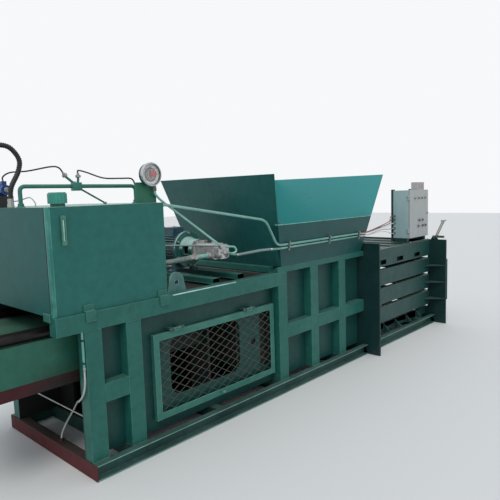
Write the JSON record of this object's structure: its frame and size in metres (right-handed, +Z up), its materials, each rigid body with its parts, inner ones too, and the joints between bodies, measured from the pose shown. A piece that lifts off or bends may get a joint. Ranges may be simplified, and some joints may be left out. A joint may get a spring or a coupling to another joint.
{
  "type": "recycling baler",
  "caption": "Horizontal hydraulic recycling baler with feed hopper, mesh guard door, oil tank and motor on top, strapping tunnel, hinged bale door and control cabinet.",
  "frame": {"origin": "on the floor under the middle of the machine", "axes": "+X from the cylinder end to the bale door, +Y away from the guard door side, +Z up"},
  "size_m": [5.653, 1.49, 2.0805],
  "materials": {
    "green_enamel": "deep bluish green enamel, worn at the edges",
    "dark_enamel": "the same enamel in the shade of the tunnel, dusty",
    "red_primer": "matt red oxide primer",
    "bare_steel": "worn bright steel",
    "dark_steel": "dark oiled steel with a brown sheen",
    "cabinet_paint": "light grey powder coat",
    "black_rubber": "spiral wrapped black hose",
    "grey_braid": "grey braided hose cover",
    "pump_metal": "cast metal, warm grey",
    "coil_blue": "moulded blue coil body",
    "valve_black": "black phosphated",
    "gauge_metal": "bright bezel",
    "gauge_red": "red",
    "cap_green": "ribbed green cap",
    "sight_green": "green frame with a pale tube",
    "conduit_green": "pale green painted tube",
    "button_black": "black",
    "button_red": "red",
    "lamp_lens": "dark lens",
    "lead_mix": "white, black and red leads",
    "lead_black": "black sheath",
    "lead_pale": "pale grey sheath",
    "mesh_dark": "dull painted expanded mesh",
    "light_grey_steel": "pale galvanised look"
  },
  "bodies": {
    "machine": {"base_frame": "green_enamel", "rear_end_beam": "red_primer", "press_floor": "bare_steel", "side_frame_near": "green_enamel", "side_frame_far": "green_enamel", "side_plate_near": "green_enamel", "side_plate_far": "green_enamel", "press_top_frame": "green_enamel", "hoop_plate": "dark_enamel", "tunnel_bars_near": "green_enamel", "tunnel_bars_far": "green_enamel", "tunnel_roof": "green_enamel", "end_plate": "dark_enamel", "hopper": "green_enamel", "fixed_blade": "bare_steel", "rear_beams": "green_enamel", "rear_cross_plate": "green_enamel", "tie_bars": "dark_steel", "cylinder_barrel": "dark_enamel", "lifting_lugs": "green_enamel", "motor_rails": "green_enamel", "oil_tank": "green_enamel", "tank_brackets": "green_enamel", "sight_gauge": "sight_green", "gauge_bracket": "green_enamel", "pressure_gauge": "gauge_metal", "valve_block": "valve_black", "valve_coils": "coil_blue", "return_pipe": "green_enamel", "tank_leads": "lead_black", "motor_housing": "green_enamel", "bell_housing": "green_enamel", "pump": "pump_metal", "suction_hose": "grey_braid", "oil_pipes": "green_enamel", "cylinder_hose": "black_rubber", "conduits": "conduit_green", "cabinet_stand": "dark_enamel", "cabinet_body": "cabinet_paint", "guard_hinges": "dark_enamel", "cabinet_cables": "lead_mix", "rear_bar": "light_grey_steel", "rear_cable": "lead_pale"},
    "ram_unit": {"ram": "bare_steel", "ram_blade": "bare_steel", "piston_rod": "bare_steel"},
    "guard": {"guard_door": "green_enamel", "guard_mesh": "mesh_dark"},
    "discharge_door": {"bale_door": "dark_enamel"},
    "door_lever": {"latch_lever": "light_grey_steel"},
    "panel_door": {"cabinet_door": "cabinet_paint", "pilot_lamps": "lamp_lens"},
    "push_1": {"button_1": "button_black"},
    "push_2": {"button_2": "button_black"},
    "push_3": {"button_3": "button_red"},
    "push_4": {"button_4": "button_black"},
    "push_5": {"button_5": "button_black"},
    "pointer": {"gauge_pointer": "gauge_red"},
    "breather_cap": {"filler_cap": "cap_green"},
    "rotor": {"motor_shaft": "bare_steel"}
  },
  "joints": [
    {"name": "ram_slide", "type": "slide", "parent": "machine", "child": "ram_unit", "axis": [1, 0, 0], "range_m": [0, 1.4]},
    {"name": "guard_hinge", "type": "hinge", "parent": "machine", "child": "guard", "pos_m": [-0.9985, -0.535, 0.795], "axis": [-1, 0, 0], "range_deg": [0, 95]},
    {"name": "bale_door_hinge", "type": "hinge", "parent": "machine", "child": "discharge_door", "pos_m": [2.7465, 0.717, 0.58], "axis": [0, 0, 1], "range_deg": [0, 110]},
    {"name": "lever_turn", "type": "hinge", "parent": "machine", "child": "door_lever", "pos_m": [2.7115, -0.592, 1.09], "axis": [1, 0, 0], "range_deg": [0, 80]},
    {"name": "cabinet_door_hinge", "type": "hinge", "parent": "machine", "child": "panel_door", "pos_m": [2.192, -0.499, 1.4], "axis": [0, 0, -1], "range_deg": [0, 110]},
    {"name": "pointer_turn", "type": "hinge", "parent": "machine", "child": "pointer", "pos_m": [-1.5835, -0.53, 1.862], "axis": [0, 1, 0], "range_deg": [-30, 240]},
    {"name": "cap_turn", "type": "hinge", "parent": "machine", "child": "breather_cap", "pos_m": [-2.2085, -0.46, 1.72], "axis": [0, 0, 1], "range_deg": [0, 90]},
    {"name": "motor_spin", "type": "hinge", "parent": "machine", "child": "rotor", "pos_m": [-0.8485, 0.2, 1.27], "axis": [0, 1, 0], "continuous": true},
    {"name": "press_1", "type": "slide", "parent": "panel_door", "child": "push_1", "axis": [0, 1, 0], "range_m": [0, 0.005], "stiffness_N_per_m": 300},
    {"name": "press_2", "type": "slide", "parent": "panel_door", "child": "push_2", "axis": [0, 1, 0], "range_m": [0, 0.005], "stiffness_N_per_m": 300},
    {"name": "press_3", "type": "slide", "parent": "panel_door", "child": "push_3", "axis": [0, 1, 0], "range_m": [0, 0.005], "stiffness_N_per_m": 300},
    {"name": "press_4", "type": "slide", "parent": "panel_door", "child": "push_4", "axis": [0, 1, 0], "range_m": [0, 0.005], "stiffness_N_per_m": 300},
    {"name": "press_5", "type": "slide", "parent": "panel_door", "child": "push_5", "axis": [0, 1, 0], "range_m": [0, 0.005], "stiffness_N_per_m": 300}
  ]
}
